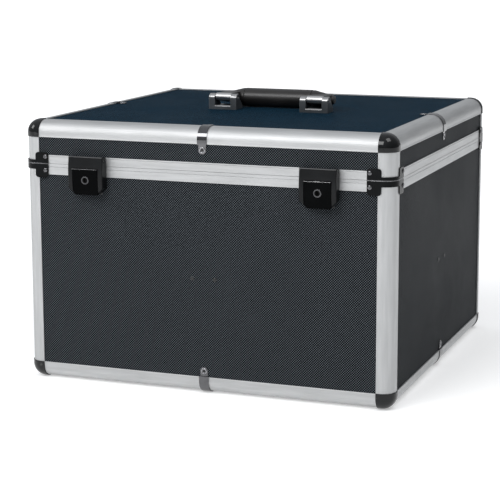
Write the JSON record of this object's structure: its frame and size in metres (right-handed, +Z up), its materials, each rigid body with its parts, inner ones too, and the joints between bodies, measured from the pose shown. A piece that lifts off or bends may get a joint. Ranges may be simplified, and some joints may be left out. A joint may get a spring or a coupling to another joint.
{
  "type": "flight case",
  "caption": "Black laminate flight case with aluminium edge profiles, ball corners, hinged lid, latches with key locks, a folding handle and a foam-lined divided inside.",
  "frame": {"origin": "on the ground under the middle of the whole object, latches and hinges included", "axes": "+Z up, -Y towards the latches at the front, +X to the right as seen from the front"},
  "size_m": [0.5432, 0.5464, 0.398],
  "materials": {
    "laminate": "satin black laminate with a fine diagonal emboss",
    "extrusion": "satin anodised",
    "chrome": "polished plate",
    "black_gloss": "glossy moulded",
    "black_steel": "satin black coat",
    "black_plastic": "moulded, faint sheen",
    "zinc": "zinc plated",
    "foam": "open-cell foam"
  },
  "bodies": {
    "base": {"base_bottom_panel": "laminate", "base_front_panel": "laminate", "base_back_panel": "laminate", "base_left_panel": "laminate", "base_right_panel": "laminate", "bottom_edge_front": "extrusion", "bottom_edge_back": "extrusion", "bottom_edge_left": "extrusion", "bottom_edge_right": "extrusion", "base_corner_posts": "extrusion", "base_closure_frame": "extrusion", "base_seam_brackets": "black_steel", "bottom_ball_corners": "black_gloss", "bottom_edge_clips": "chrome", "floor_foam": "foam", "wall_foam": "foam", "divider_channels": "extrusion", "divider_long": "laminate", "divider_cross": "laminate", "lock_body_left": "black_steel", "lock_body_right": "black_steel", "flap_pins": "zinc", "hinge_base_leaves": "black_steel", "hinge_pins": "zinc"},
    "lid": {"lid_top_panel": "laminate", "lid_front_panel": "laminate", "lid_back_panel": "laminate", "lid_left_panel": "laminate", "lid_right_panel": "laminate", "top_edge_front": "extrusion", "top_edge_back": "extrusion", "top_edge_left": "extrusion", "top_edge_right": "extrusion", "lid_corner_posts": "extrusion", "lid_closure_frame": "extrusion", "lid_seam_brackets": "black_steel", "top_ball_corners": "black_gloss", "top_edge_clips": "chrome", "lid_foam": "foam", "hinge_lid_leaves": "black_steel", "hasp_hinge_plates": "black_steel", "hasp_pins": "zinc", "handle_bracket_left": "black_plastic", "handle_bracket_right": "black_plastic", "handle_pins": "zinc", "handle_backing_plate": "zinc"},
    "handle": {"handle_grip": "black_plastic"},
    "hasp_left": {"hasp_left": "black_steel"},
    "hasp_right": {"hasp_right": "black_steel"},
    "flap_left": {"lock_flap_left": "black_steel"},
    "flap_right": {"lock_flap_right": "black_steel"},
    "key_left": {"key_cylinder_left": "chrome"},
    "key_right": {"key_cylinder_right": "chrome"}
  },
  "joints": [
    {"name": "lid_hinge", "type": "hinge", "parent": "base", "child": "lid", "pos_m": [0, 0.26697, 0.3112], "axis": [-1, 0, 0], "range_deg": [0, 100]},
    {"name": "handle_fold", "type": "hinge", "parent": "lid", "child": "handle", "pos_m": [0.009, -0.01663, 0.3882], "axis": [1, 0, 0], "range_deg": [0, 190]},
    {"name": "hasp_swing_left", "type": "hinge", "parent": "lid", "child": "hasp_left", "pos_m": [-0.169, -0.26393, 0.3197], "axis": [-1, 0, 0], "range_deg": [0, 90]},
    {"name": "flap_swing_left", "type": "hinge", "parent": "base", "child": "flap_left", "pos_m": [-0.169, -0.26163, 0.2762], "axis": [1, 0, 0], "range_deg": [0, 60]},
    {"name": "key_turn_left", "type": "hinge", "parent": "flap_left", "child": "key_left", "pos_m": [-0.169, -0.27163, 0.2927], "axis": [0, -1, 0], "range_deg": [0, 90]},
    {"name": "hasp_swing_right", "type": "hinge", "parent": "lid", "child": "hasp_right", "pos_m": [0.169, -0.26393, 0.3197], "axis": [-1, 0, 0], "range_deg": [0, 90]},
    {"name": "flap_swing_right", "type": "hinge", "parent": "base", "child": "flap_right", "pos_m": [0.169, -0.26163, 0.2762], "axis": [1, 0, 0], "range_deg": [0, 60]},
    {"name": "key_turn_right", "type": "hinge", "parent": "flap_right", "child": "key_right", "pos_m": [0.169, -0.27163, 0.2927], "axis": [0, -1, 0], "range_deg": [0, 90]}
  ]
}
